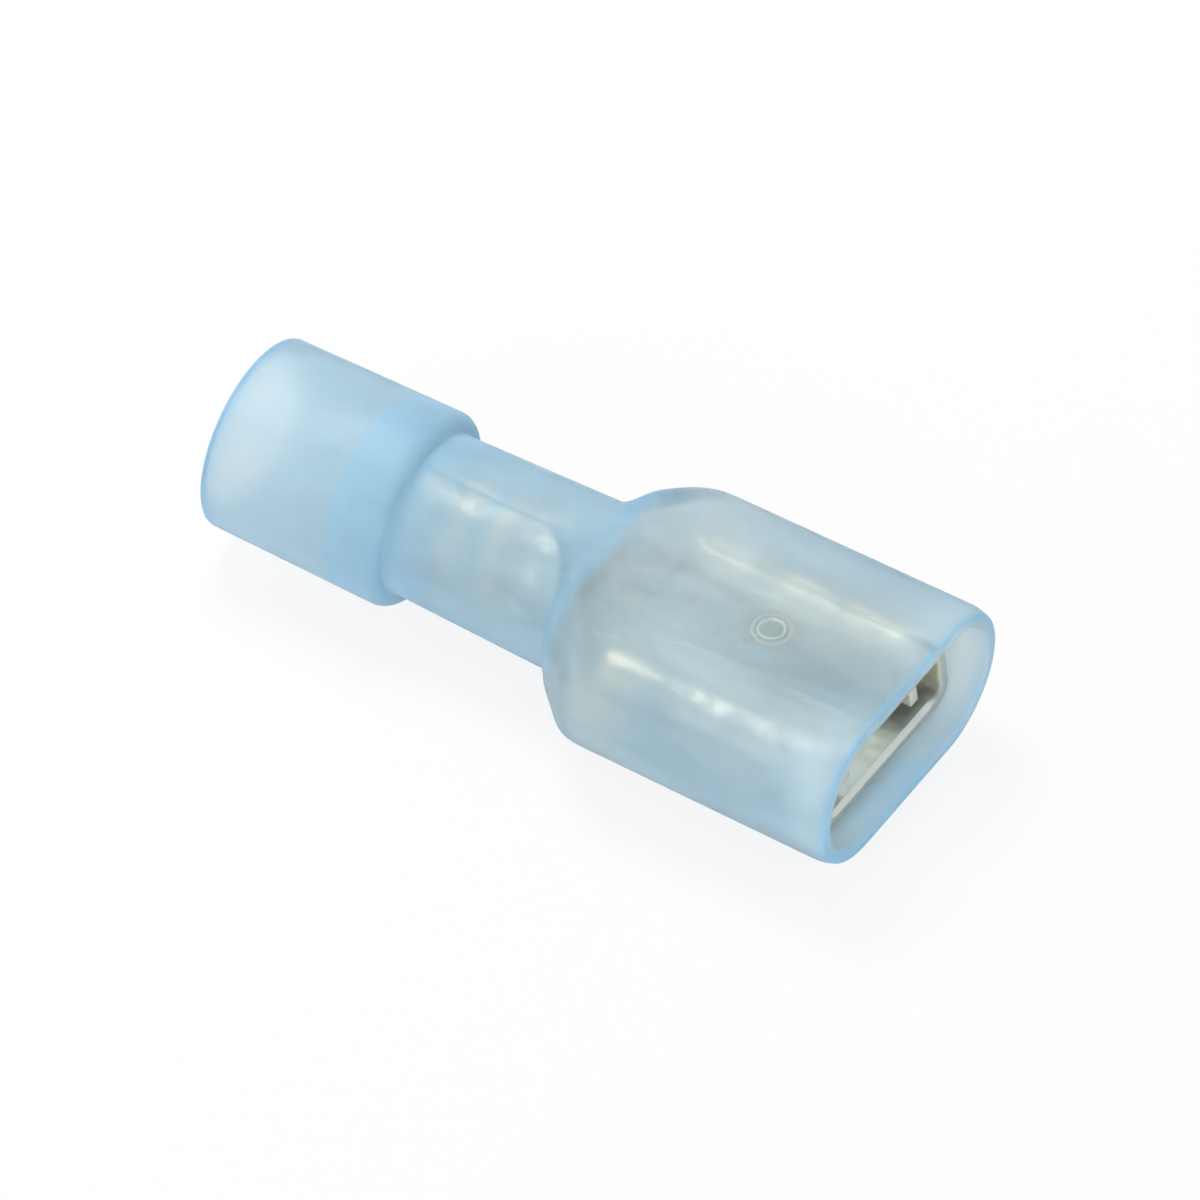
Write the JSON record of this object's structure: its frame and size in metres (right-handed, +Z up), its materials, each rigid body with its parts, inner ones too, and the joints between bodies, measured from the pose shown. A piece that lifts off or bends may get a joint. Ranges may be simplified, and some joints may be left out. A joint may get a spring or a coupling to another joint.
{
  "type": "insulated female spade terminal",
  "caption": "Push-on female spade terminal with a rolled tinned receptacle and crimp barrel inside a translucent light-blue nylon housing.",
  "frame": {"origin": "middle of the footprint on the lowest point, under the wire barrel's axis", "axes": "+X along the axis from the wire end to the tab mouth, +Z up, with the receptacle's floor at the bottom and its rolls on top"},
  "size_m": [0.0232, 0.0098, 0.0064],
  "materials": {
    "nylon": "translucent light blue moulded nylon, satin",
    "tinned_metal": "tin plated brass sheet, soft sheen"
  },
  "bodies": {
    "root": {"housing": "nylon", "terminal": "tinned_metal"}
  },
  "joints": []
}
